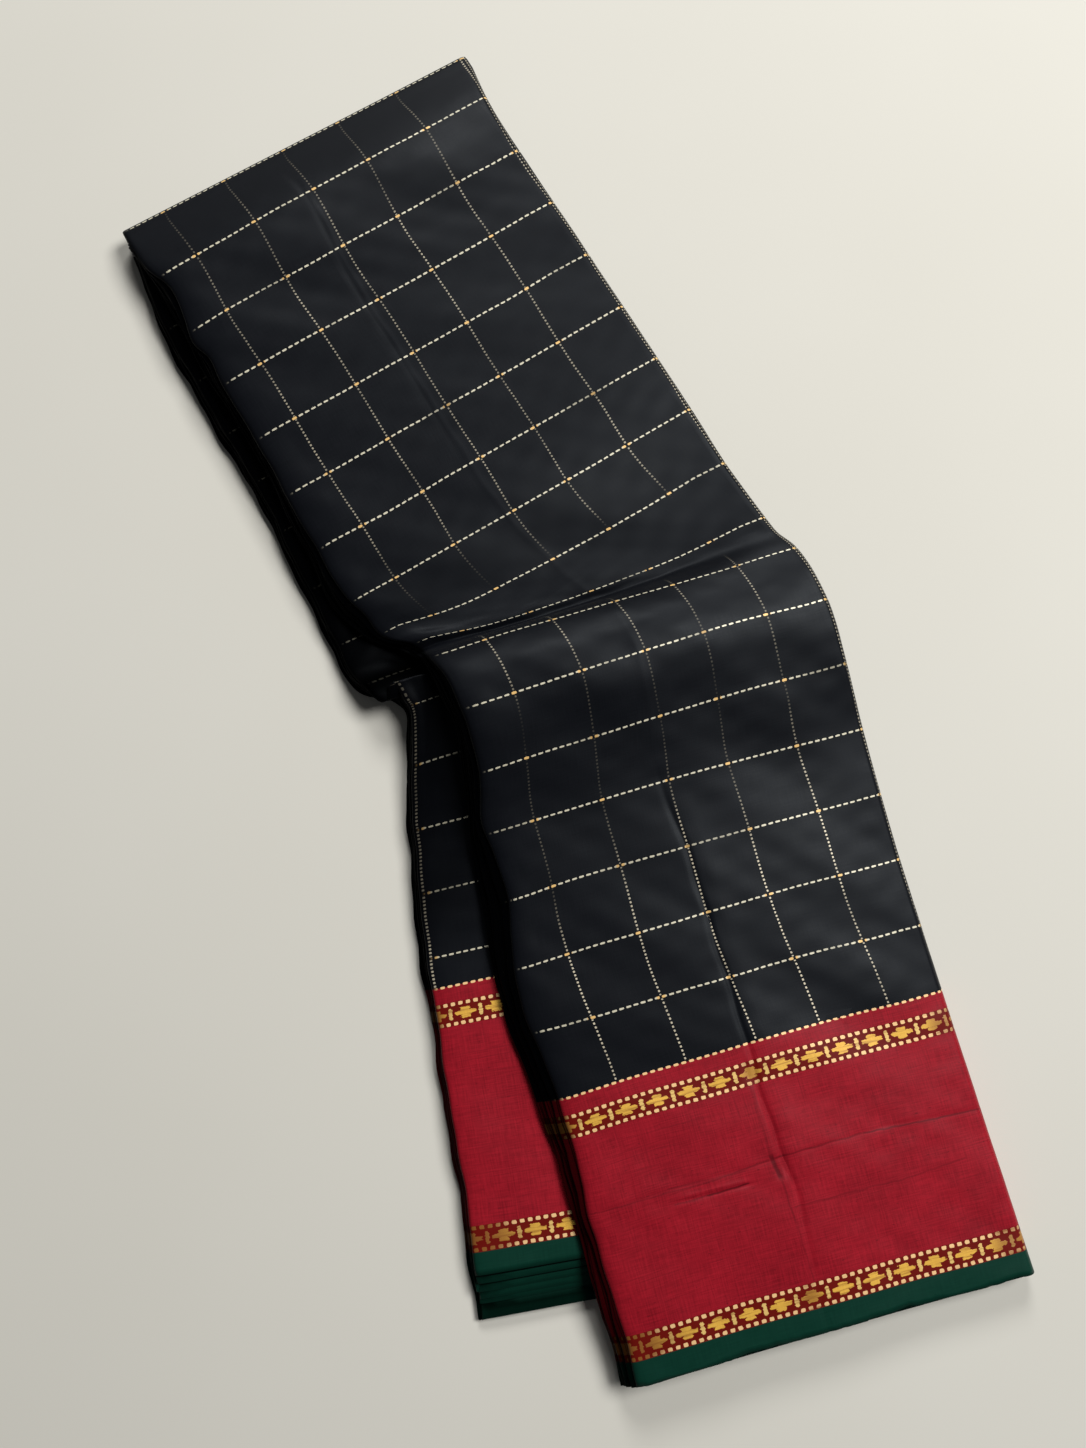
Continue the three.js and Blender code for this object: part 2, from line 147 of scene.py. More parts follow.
# the long fold-memory line down the middle of the upper leaf: where it runs
# across the width, and how proud (+) or sunk (-) it is, mm
CREASE = [  # check, across, height, half width
    [-0.1, 0.466, 0.03, 1.3],
    [1.0, 0.449, 0.12, 1.2],
    [2.7, 0.430, 0.15, 1.1],
    [4.0, 0.426, 0.13, 1.1],
    [6.5, 0.443, 0.10, 1.5],
    [8.6, 0.470, 0.10, 2.4],
    [10.0, 0.465, 0.15, 2.6],
    [12.0, 0.455, 0.12, 2.4],
    [12.9, 0.450, -0.10, 1.6],
    [13.6, 0.468, -0.50, 1.2],
    [15.0, 0.486, -0.65, 1.1],
    [17.0, 0.484, -0.75, 1.1],
    [17.7, 0.478, -0.95, 1.1],
    [18.75, 0.487, -1.05, 1.2],
    [19.3, 0.494, -0.70, 1.1],
    [20.2, 0.484, -0.35, 1.1],
    [21.2, 0.480, -0.10, 1.4],
]

# short sharp creases of the upper leaf: both ends, height and half width in mm
FOLD_LINES = [  # from check, from across, to check, to across, height, half width
    [18.70, -1.0, 18.68, 80.0, -0.13, 0.8],
    [18.68, 80.0, 18.62, 127.0, -0.10, 0.8],
    [18.62, 127.0, 18.72, 170.0, -0.13, 0.8],
    [18.90, 35.0, 18.92, 66.0, -0.36, 0.8],
    [18.84, 40.0, 18.86, 64.0, 0.22, 0.8],
    [19.08, 20.0, 19.18, 50.0, -0.14, 0.9],
    [19.18, 50.0, 19.44, 120.0, -0.11, 0.9],
    [17.70, 23.5, 18.70, 23.5, 0.15, 1.0],
    [18.70, 23.5, 20.10, 25.0, 0.13, 1.0],
    [18.50, 120.5, 20.00, 118.5, 0.15, 1.3],
    [18.66, 78.3, 18.92, 79.0, -0.25, 1.5],
    [17.25, 78.2, 17.48, 78.0, -0.50, 1.3],
    [13.32, 2.0, 13.34, 105.0, 0.16, 1.0],
    [12.90, 40.0, 12.96, 88.0, -0.12, 1.0],
]

# how far the upper leaf's left edge bulges out over the leaves below, mm
BULGE = [  # check, out
    [0.30, 0.5], [0.86, 2.5], [1.12, 0.2], [1.74, 2.5], [2.22, 3.8], [2.48, 0.8], [3.0, 2.5], [3.54, 3.0],
    [5.0, 2.0], [6.7, 0.5], [7.2, -0.5], [8.14, 3.5], [8.5, 3.5], [9.3, 2.0], [9.96, 3.8], [10.58, 2.2],
    [11.0, 3.2], [11.54, 2.2], [12.0, 0.8], [12.74, 2.0], [13.24, -0.8], [13.68, -2.2], [14.12, -2.5],
    [14.78, -1.2], [15.2, -0.3], [17.6, -0.8], [18.18, 0.2], [18.76, 1.2], [19.3, 0.2], [19.94, -1.6], [21.2, -1.6],
]

# painted shade: thin dark lines along the press creases in the red silk, on the upper half
CREASE_SHADE = [  # from check, from across, to check, to across, strength
    [18.70, 1.0, 18.74, 47.5, 0.45],
    [18.74, 47.5, 18.66, 76.5, 0.60],
    [18.66, 76.5, 18.64, 117.0, 0.60],
    [18.64, 117.0, 18.72, 168.0, 0.80],
    [18.92, 34.5, 18.92, 48.0, 0.50],
    [18.92, 48.0, 18.90, 66.0, 1.00],
    [18.68, 33.5, 18.72, 66.0, 0.40],
    [19.38, 81.5, 19.40, 127.5, 0.40],
    [19.40, 127.5, 19.32, 156.0, 0.40],
]

# painted crease shade as above, running up and down the old middle fold
CREASE_SHADE_UP = [  # from check, from across, to check, to across, strength, half width
    [17.30, 77.3, 18.60, 77.4, 0.35, 0.55],
    [18.60, 77.4, 18.96, 79.2, 1.00, 0.95],
    [18.96, 79.2, 19.60, 80.2, 0.50, 0.45],
    [19.60, 80.2, 20.40, 81.5, 0.35, 0.35],
]

# how strongly each woven column shows down the cloth: 1 is bright, 0 is gone
DOTS_COLUMNS = ["check", "first", "second", "third", "fourth", "fifth"]
DOTS = [
    [0.1, 0.05, 0.05, 0.05, 0.05, 0.05],
    [0.8, 0.16, 0.18, 0.20, 0.18, 0.20],
    [1.4, 0.22, 0.28, 0.26, 0.24, 0.28],
    [2.4, 0.25, 0.50, 0.50, 0.60, 0.50],
    [4.3, 0.50, 0.40, 0.30, 0.40, 0.40],
    [6.3, 0.35, 0.40, 0.40, 0.40, 0.40],
    [7.4, 0.05, 0.10, 0.20, 0.40, 0.50],
    [8.0, 0.00, 0.00, 0.00, 0.00, 0.05],
    [9.6, 0.05, 0.05, 0.00, 0.00, 0.05],
    [10.3, 0.50, 0.40, 0.35, 0.30, 0.40],
    [11.3, 0.05, 0.10, 0.10, 0.10, 0.20],
    [12.3, 0.05, 0.05, 0.05, 0.05, 0.10],
    [13.3, 0.10, 0.10, 0.30, 0.25, 0.60],
    [14.3, 0.10, 0.55, 1.00, 0.85, 0.95],
    [15.3, 0.80, 0.70, 0.80, 1.00, 0.85],
    [17.0, 0.75, 0.80, 1.00, 1.00, 0.80],
]


# ---------------------------------------------------------------- smooth reading of a table
def smooth(knots, values, at):
    """Values at the knots (first axis), read at any array of places along them."""
    knots, values, at = np.asarray(knots, float), np.asarray(values, float), np.asarray(at, float)
    slope = (values[1:].T - values[:-1].T) / np.diff(knots)
    slope = slope.T
    h = np.diff(knots)
    tangent = np.empty_like(values)
    tangent[0], tangent[-1] = slope[0], slope[-1]
    a, b = h[:-1], h[1:]
    shape = (-1,) + (1,) * (values.ndim - 1)
    tangent[1:-1] = (slope[:-1] * b.reshape(shape) + slope[1:] * a.reshape(shape)) / (a + b).reshape(shape)
    q = np.clip(at, knots[0], knots[-1])
    i = np.clip(np.searchsorted(knots, q, side="right") - 1, 0, len(knots) - 2)
    t = (q - knots[i]) / h[i]
    ex = (...,) + (None,) * (values.ndim - 1)
    hh, tt = h[i][ex], t[ex]
    return ((2 * tt**3 - 3 * tt**2 + 1) * values[i] + (tt**3 - 2 * tt**2 + tt) * hh * tangent[i]
            + (3 * tt**2 - 2 * tt**3) * values[i + 1] + (tt**3 - tt**2) * hh * tangent[i + 1])


def across(knots, values, u):
    """values at the knots (last axis), read at u by a smooth curve"""
    knots, h = np.asarray(knots, float), np.diff(knots)
    slope = np.diff(values, axis=-1) / h
    tangent = np.concatenate([slope[..., :1], (slope[..., :-1] * h[1:] + slope[..., 1:] * h[:-1]) / (h[1:] + h[:-1]), slope[..., -1:]], -1)
    u = np.clip(u, knots[0], knots[-1])
    i = np.clip(np.searchsorted(knots, u, side="right") - 1, 0, len(knots) - 2)
    t = (u - knots[i]) / h[i]
    values = np.broadcast_to(values, u.shape + values.shape[-1:])
    tangent = np.broadcast_to(tangent, u.shape + tangent.shape[-1:])
    pick = lambda a, j: np.take_along_axis(a, j[..., None], -1)[..., 0]
    return ((2 * t**3 - 3 * t**2 + 1) * pick(values, i) + (t**3 - 2 * t**2 + t) * h[i] * pick(tangent, i)
            + (3 * t**2 - 2 * t**3) * pick(values, i + 1) + (t**3 - t**2) * h[i] * pick(tangent, i + 1))


class Bundle:
    def __init__(self, rows, columns, across):
        self.rows = np.array(rows, float)
        self.columns = columns
        self.at = np.array([w for _, w in across])
        self.heights = [columns.index(n) for n, _ in across]

    def read(self, check):
        return smooth(self.rows[:, 0], self.rows[:, 1:], check)

    def line(self, check):
        """left end, direction, width and flare of the weave line at each check"""
        r = self.read(check)
        left, right = r[..., 0:2], r[..., 2:4]
        run = right - left
        width = np.hypot(run[..., 0], run[..., 1])
        return left, run / width[..., None], width, r[..., self.columns.index("flare") - 1]

    def height(self, check, d):
        """height of the top leaf at distance d along the weave line"""
        r = self.read(check)
        run = r[..., 2:4] - r[..., 0:2]
        width = np.hypot(run[..., 0], run[..., 1])
        u = np.clip(d / width, 0, 1)
        z = r[..., [h - 1 for h in self.heights]]
        u = np.broadcast_to(u, np.broadcast(u, r[..., 0]).shape)
        return across(self.at, z, u)


upper_form = Bundle(UPPER, UPPER_COLUMNS, UPPER_ACROSS)
under_form = Bundle(UNDER, UNDER_COLUMNS, UNDER_ACROSS)


def support(x, y):
    """height of what the upper bundle lies on at a point of the plan"""
    def past(s):
        left, e, _, _ = under_form.line(s)
        return (x - left[..., 0]) * e[..., 1] - (y - left[..., 1]) * e[..., 0]
    lo, hi = np.full(x.shape, FOLD_START), np.full(x.shape, UNDER_END)
    beyond = past(hi)
    before = past(lo) < 0
    for _ in range(18):
        m = (lo + hi) / 2
        ahead = past(m) > 0
        lo, hi = np.where(ahead, m, lo), np.where(ahead, hi, m)
    s = np.where(before, FOLD_START, np.where(beyond > 0, UNDER_END, hi))
    left, e, width, _ = under_form.line(s)
    d = (x - left[..., 0]) * e[..., 0] + (y - left[..., 1]) * e[..., 1]
    z = under_form.height(s, np.minimum(d, width))
    z = z * np.where(d > width + 2, np.clip(1 - (d - width - 2) / FALL, 0, 1), 1)
    return z * np.where(beyond > 16, np.clip(1 - (beyond - 16) / 80, 0, 1), 1)


# the upper bundle's underside, worked out once on a coarse grid and read from it
BASE_S = np.concatenate([np.linspace(0.3, 7.4, 26), np.linspace(7.6, 13.0, 46), np.linspace(13.3, 21.3, 34)])
BASE_D = np.linspace(-14, 172, 70)


def _base_grid():
    s, d = np.meshgrid(BASE_S, BASE_D, indexing="ij")
    left, e, width, _ = upper_form.line(s)
    x, y = left[..., 0] + e[..., 0] * d, left[..., 1] + e[..., 1] * d
    reach = np.where((s > 7) & (s < 13), 5.5, 2.5)
    z = np.zeros_like(x)
    for i in (-1, 0, 1):
        for j in (-1, 0, 1):
            z = np.maximum(z, support(x + i * reach, y + j * reach))
    z = np.where(z < 0.4, 0.15, z + REST)
    z = np.maximum(z, upper_form.height(s, d) - THICKEST)
    for _ in range(2):   # soften the corners that the samples leave
        z[1:-1] = (z[:-2] + 2 * z[1:-1] + z[2:]) / 4
    return z


BASE_Z = _base_grid()


def upper_base(s, d):
    i = np.clip(np.searchsorted(BASE_S, s) - 1, 0, len(BASE_S) - 2)
    j = np.clip(np.searchsorted(BASE_D, d) - 1, 0, len(BASE_D) - 2)
    a = np.clip((s - BASE_S[i]) / (BASE_S[i + 1] - BASE_S[i]), 0, 1)
    b = np.clip((d - BASE_D[j]) / (BASE_D[j + 1] - BASE_D[j]), 0, 1)
    return (BASE_Z[i, j] * (1 - a) * (1 - b) + BASE_Z[i + 1, j] * a * (1 - b)
            + BASE_Z[i, j + 1] * (1 - a) * b + BASE_Z[i + 1, j + 1] * a * b)


def waves(s, d, seed, long=60.0, wide=45.0, terms=7):
    """soft uneven rise and fall, about -1 to 1, of cloth that was handled"""
    g = np.random.default_rng(seed)
    out = np.zeros(np.broadcast(s, d).shape)
    for _ in range(terms):
        a, b, c = g.uniform(0.5, 1.6), g.uniform(-1.3, 1.3), g.uniform(0, 6.28)
        out = out + np.sin(s * CHECK * 6.283 / long * a + d * 6.283 / wide * b + c) / terms**0.5
    return out


def ease(x, low, high):
    t = np.clip((x - low) / (high - low), 0, 1)
    return t * t * (3 - 2 * t)


def bump(x, half):
    return np.exp(-(x / half) ** 2)


def relief_upper(s, d, width):
    """the creases and softness of the upper leaf, mm above its plain form"""
    rows = np.array(CREASE)
    across, height, half = (smooth(rows[:, 0], rows[:, k], s) for k in (1, 2, 3))
    x = d - across * width + 0.35 * np.sin(s * 6.1 + 1)
    z = height * np.exp(-(np.abs(x) / half) ** 1.5)
    z = z - 0.35 * np.minimum(height, 0) * bump(x - 6.5, 5.0)          # the shoulder beside the sunk line
    for s0, d0, s1, d1, high, wide in FOLD_LINES:
        run, rise = (s1 - s0) * CHECK, d1 - d0
        part = np.clip(((s - s0) * CHECK * run + (d - d0) * rise) / (run * run + rise * rise), 0, 1)
        off = np.hypot((s - s0) * CHECK - run * part, d - d0 - rise * part)
        z = z + high * np.exp(-(off / wide) ** 1.6)
    z = z + 0.22 * bump((s - 8.75) * CHECK + 0.30 * (d - 60), 2.0) * bump(d - 60, 26)   # small tuck beside the valley
    z = z - 0.12 * bump((s - 9.28) * CHECK - 0.02 * d, 1.6) * np.clip(1.15 - d / width, 0, 1)   # the valley's sharp line
    z = z + 0.28 * waves(s, d, 3) * np.clip(d / 12, 0, 1)
    z = z + 0.07 * waves(s, d, 5, 17, 21)
    return z


def relief_under(s, d, width):
    z = lip(s, d)[1] + 0.20 * waves(s, d, 8) + 0.07 * waves(s, d, 9, 15, 18)
    z = z + 0.9 * np.sin(s * 5.4 + 0.9 * np.sin(s * 1.7) + d * 0.05) * bump(d - 9, 11) * np.clip((9.2 - s) / 1.5, 0.25, 1)
    z = z + 0.55 * bump(d - 13, 3.2) * bump((s - 10.0) * CHECK, 20) - 0.5 * bump(d - 6.5, 2.4) * bump((s - 10.2) * CHECK, 26)
    return z


LIP_AT, LIP_HALF = 9.22, 0.42      # check where the under bundle's top leaf doubles over, and half its length


def lip(s, d):
    """(plan shift down the cloth, rise) of the doubled leaf at the under bundle's kink"""
    q = (s - LIP_AT - 0.0016 * d) / LIP_HALF
    side = np.clip(1.15 - d / 70, 0, 1) * np.exp(-(q / 1.35) ** 6)
    shift = -5.6 * np.sin(np.clip(q, -1, 1) * math.pi) * side
    rise = (1.9 * bump(q - 0.42, 0.30) - 3.4 * bump(q + 0.36, 0.34)) * side
    return shift, rise


def left_roll(d, drop, reach):
    """the left edge of a stack of leaves sinks as it nears its folds"""
    return -drop * np.exp(-np.maximum(d, 0) / reach)


def sag(s, d):
    rows = np.array(SAG)
    d = np.broadcast_to(d, np.broadcast(s, d).shape)
    return across(SAG_AT, smooth(rows[:, 0], rows[:, 1:], s), d)


def edge_wander(s, seed, size):
    g = np.random.default_rng(seed)
    out = np.zeros(np.shape(s))
    for long in (150, 70, 38, 21):
        out = out + np.sin(np.asarray(s) * CHECK * 6.283 / long + g.uniform(0, 6.28)) * (long / 150) ** 0.7
    return out * size / 1.6


class Stack:
    """one bundle as the leaves see it: top, base and plan at any check and d"""
    def __init__(self, tag):
        self.tag, self.form = tag, upper_form if tag == "upper" else under_form

    def place(self, s, d, share=1.0):
        """plan of a point; past the first line it runs on round the end fold"""
        line_s = np.maximum(s, FOLD_START)
        left, e, width, flare = self.form.line(line_s)
        wander = edge_wander(line_s, 21 if self.tag == "upper" else 22, 0.9) * np.exp(-np.maximum(d, 0) / 9)
        out = self.end_fold(s)[0]
        dd = d + wander * np.clip((line_s - 0.5) / 1.0, 0, 1)
        if self.tag == "upper":
            rows = np.array(BULGE)
            dd = dd - smooth(rows[:, 0], rows[:, 1], line_s) * share * np.exp(-np.maximum(d, 0) / 6)
            out = out - sag(line_s, dd)
        else:
            out = out - lip(line_s, dd)[0] * share - 0.050 * np.clip(dd, 0, 80) * ease(line_s, 13.5, 17.5)
        return (left[..., 0] + e[..., 0] * dd - e[..., 1] * out, left[..., 1] + e[..., 1] * dd + e[..., 0] * out)

    def end_fold(self, s):
        """(reach past the first line, share of the height left) round the fold at the far end"""
        run = np.clip((FOLD_START - s) * CHECK, 0, None) * 1.11
        a = np.clip((run - 4.5) / 3.5, 0, math.pi / 2)
        drop = 3.5 * (1 - np.cos(a)) + np.clip(run - 4.5 - 3.5 * math.pi / 2, 0, 3.5)
        return np.minimum(run, 4.5) + 3.5 * np.sin(a), 1 - drop / 7

    def width(self, s):
        return self.form.line(np.maximum(s, FOLD_START))[2]

    def flare(self, s):
        return self.form.line(np.maximum(s, FOLD_START))[3]

    def top(self, s, d, relief=True):
        line_s = np.maximum(s, FOLD_START)
        width = self.width(s)
        z = self.form.height(line_s, d)
        slope = (self.form.height(np.full_like(line_s, FOLD_START + 0.25), d)
                 - self.form.height(np.full_like(line_s, FOLD_START), d)) / 0.25
        z = z + slope * np.minimum(s - FOLD_START, 0)
        if relief:
            fade = np.clip((line_s - 0.4) / 0.8, 0, 1)
            if self.tag == "upper":
                z = z + relief_upper(line_s, d, width) * fade + left_roll(d, 2.0, 3.5) * fade
            else:
                z = z + relief_under(line_s, d, width) * fade + left_roll(d, 1.3, 3.0) * fade
        mid = 7.5
        return mid + (z - mid) * self.end_fold(s)[1]

    def base(self, s, d):
        line_s = np.maximum(s, FOLD_START)
        if self.tag == "upper":
            z = upper_base(line_s, d)
        else:
            z = np.full(np.broadcast(s, d).shape, 0.12)
        mid = 7.5
        return mid + (z - mid) * self.end_fold(s)[1]


# ---------------------------------------------------------------- meshes
def grid_mesh(name, x, y, z, uv, edge, wear_and_shade, material, thickness, offset=-1.0):
    """a sheet from a grid of points: rows along the cloth, columns across it"""
    n, m = x.shape
    co = np.stack([(x - ORIGIN[0]) / 1000, (y - ORIGIN[1]) / 1000, z / 1000], -1).reshape(-1, 3)
    i, j = np.meshgrid(np.arange(n - 1), np.arange(m - 1), indexing="ij")
    a = (i * m + j).ravel()
    faces = np.stack([a, a + m, a + m + 1, a + 1], -1)
    return raw_mesh(name, co, faces, uv.reshape(-1, 2), edge.reshape(-1, 2), wear_and_shade.reshape(-1, 2), material, thickness,
                    offset)


def raw_mesh(name, co, faces, uv, edge, wear_and_shade, material, thickness, offset=-1.0):
    me = bpy.data.meshes.new(name)
    me.vertices.add(len(co))
    me.vertices.foreach_set("co", co.astype(np.float32).ravel())
    me.loops.add(faces.size)
    me.loops.foreach_set("vertex_index", faces.astype(np.int32).ravel())
    me.polygons.add(len(faces))
    me.polygons.foreach_set("loop_start", np.arange(0, faces.size, faces.shape[1], dtype=np.int32))
    me.update(calc_edges=True)
    for label, data in (("weave", uv), ("edge", edge), ("wear_and_shade", wear_and_shade)):
        layer = me.uv_layers.new(name=label)
        layer.data.foreach_set("uv", data[faces.ravel()].astype(np.float32).ravel())
    me.polygons.foreach_set("use_smooth", np.ones(len(faces), bool))
    me.validate()
    ob = bpy.data.objects.new(name, me)
    bpy.context.scene.collection.objects.link(ob)
    me.materials.append(material)
    if thickness:
        mod = ob.modifiers.new("leaf", "SOLIDIFY")
        mod.thickness = thickness / 1000
        mod.offset = offset
        mod.use_even_offset = False
    return ob


def stations(start, end, fine=()):
    """checks from start to end, closer together where a (from, to, step) says so"""
    out, s = [start], start
    while s < end - 1e-6:
        step = 0.085
        for lo, hi, st in fine:
            if lo <= s < hi:
                step = st
        s = min(end, s + step)
        out.append(s)
    return np.array(out)


ROW_SHIFT = {"upper": 0.0, "under": 0.20}        # so that woven rows fall on whole numbers


def coordinates(tag, s, u, lines=True):
    """(weave, edge): woven lines across and along as whole numbers, and mm across and past the seam"""
    u = np.asarray(u, float)
    whole = np.full(u.shape, 0.5)
    if lines:
        rows = np.array(LINES)
        if tag == "upper":
            at = smooth(rows[:, 0], rows[:, 1:], s[:, 0])
        else:
            at = np.tile(UNDER_LINES, (len(s), 1))
            at[s[:, 0] < LIP_AT + 0.1, 0] = -9.0       # beyond the kink its first line is turned under
        for k in range(len(s)):
            knots = np.concatenate([at[k, :1] - 28.8, at[k], at[k, -1:] + 28.8 * np.arange(1, 8)])
            whole[k] = np.interp(u[k], knots, np.arange(-1, len(knots) - 1))
    # the last woven row lies on the rim of the end fold
    along = np.where(s < 0.6, s - 0.12 * np.clip((0.6 - s) / 0.5, 0, 1), s)
    weave = np.stack([whole, along + ROW_SHIFT[tag]], -1)
    edge = np.stack([u / 100, (s - SEAM[tag]) * CHECK / 100], -1)
    return weave, edge


def wear_and_shade_of(tag, s, u):
    """(how much of the columns shows, how far painted shade darkens the silk: 1 unshaded, less is darker), each 0 to 1
    """
    shows = np.ones(u.shape)
    if tag == "upper":
        rows, lines = np.array(DOTS), np.array(LINES)
        at = smooth(lines[:, 0], lines[:, 1:], s[:, 0])
        left = smooth(rows[:, 0], rows[:, 1:], np.clip(s[:, 0], 0.1, 17.0))
        for k in range(len(s)):
            shows[k] = np.interp(u[k], at[k, :5], left[k])
        shows = np.where(u > at[:, 4:5] + 12, 0.55, shows)
        # painted shade: the silk darkens toward its rolled left edge
        painted_shade_and_rub = 0.22 + 0.78 * ease(u, -1.0, 3.4)
        rows = np.array(CREASE)     # the rubbed line along the old fold shines a little
        off = u - smooth(rows[:, 0], rows[:, 1], s) * 161 - 0.35 * np.sin(s * 6.1 + 1)
        painted_shade_and_rub = painted_shade_and_rub * (1 + 0.9 * bump(off, 1.3) * ease(s, 0.4, 1.0) * (1 - ease(s, 4.0, 6.0)))
    else:
        shows = np.where(s > 13.6, 0.65, 0.32) + 0 * u
        # painted shade: darker by the left edge, over the strip beside the upper bundle, and over the doubled leaf at
        # the kink
        painted_shade_and_rub = (0.22 + 0.78 * ease(u, -1.0, 2.4)) * (0.45 + 0.55 * ease(s, 12.6, 14.2)) * (0.30 + 0.70 * ease(s, 9.0, 9.5))
        # painted shade: the woven row tucked into the kink is painted dark
        painted_shade_and_rub = painted_shade_and_rub * (1 - 0.90 * bump(s - 8.80, 0.16))      # the row that the kink tucks in
    return np.stack([shows, painted_shade_and_rub], -1)


def outer_leaf(tag, end, material):
    """the leaf that shows: turned under on the left, over the top, round the spine and back beneath"""
    st = Stack(tag)
    fine = ((-0.2, 0.5, 0.022), (8.0, 10.9, 0.045), (18.52, 19.06, 0.022)) if tag == "upper" else ((-0.2, 0.5, 0.03), (8.0, 10.9, 0.05))
    s = stations(-0.122, end, fine)[:, None]
    w = st.width(s)
    # d runs from the left turn to the spine; closer at the edges and the middle line
    share = np.concatenate([np.linspace(0, 0.08, 12, endpoint=False), np.linspace(0.08, 0.42, 26, endpoint=False),
                            np.linspace(0.42, 0.54, 24, endpoint=False), np.linspace(0.54, 0.93, 28, endpoint=False),
                            np.linspace(0.93, 1.0, 8)])
    if tag == "under":
        share = np.concatenate([np.linspace(0, 0.3, 46, endpoint=False), np.linspace(0.3, 1.0, 30)])
    last = w - SPINE
    d = TURN + (last - TURN) * share[None, :]
    z = st.top(s, d)
    cols_d, cols_z, cols_u = [], [], []
    # left turn
    t0 = st.top(s, np.full_like(s, TURN))
    for a in (205, 180, 155, 130, 110):
        r = math.radians(a)
        cols_d.append(TURN + TURN * math.cos(r) + 0 * s)
        cols_z.append(t0 - TURN * 0.75 + TURN * 0.75 * math.sin(r))
        cols_u.append(-TURN * (a - 90) * math.pi / 180 + TURN + 0 * s)
    for k in range(d.shape[1]):
        cols_d.append(d[:, k:k + 1]); cols_z.append(z[:, k:k + 1]); cols_u.append(d[:, k:k + 1])
    # spine: half an ellipse from the top down to the base
    zt, zb = st.top(s, last), st.base(s, last)
    c, rz = (zt + zb) / 2, np.maximum((zt - zb) / 2, 0.05)
    arc_u = 0
    for a in np.linspace(90, -90, 19)[1:]:
        r = math.radians(a)
        cols_d.append(last + SPINE * math.cos(r)); cols_z.append(c + rz * math.sin(r))
        arc_u += 1
        cols_u.append(last + (rz + SPINE) / 2 * math.radians(90 - a))
    # back beneath, to the left side
    back = np.linspace(1, 0, 26)[1:]
    far = w - SPINE
    for f in back:
        dd = 1.0 + (far - 1.0) * f
        cols_d.append(dd); cols_z.append(st.base(s, dd))
        cols_u.append(cols_u[-1] + (far - 1.0) / 25)
    D, Z, U = (np.concatenate(c_, 1) for c_ in (cols_d, cols_z, cols_u))
    S = np.broadcast_to(s, D.shape)
    if tag == "upper":      # the cut edge wavers a little
        worn = 0.042 * waves(D / 60.0, D * 0.0, 31, 28.8, 1e6) + 0.012 * waves(D / 9.0, D * 0.0, 37, 28.8, 1e6)
        S = S + worn * np.clip((S - 20.7) / (end - 20.7), 0, 1)
    back_part = np.where(np.arange(D.shape[1]) >= D.shape[1] - 25, 0.0, 1.0)[None, :]
    x, y = st.place(S, D, back_part)
    weave, edge = coordinates(tag, S, U)
    return grid_mesh(f"leaf_{tag}", x, y, Z, weave, edge, wear_and_shade_of(tag, S, U), material, SILK + 0.06)


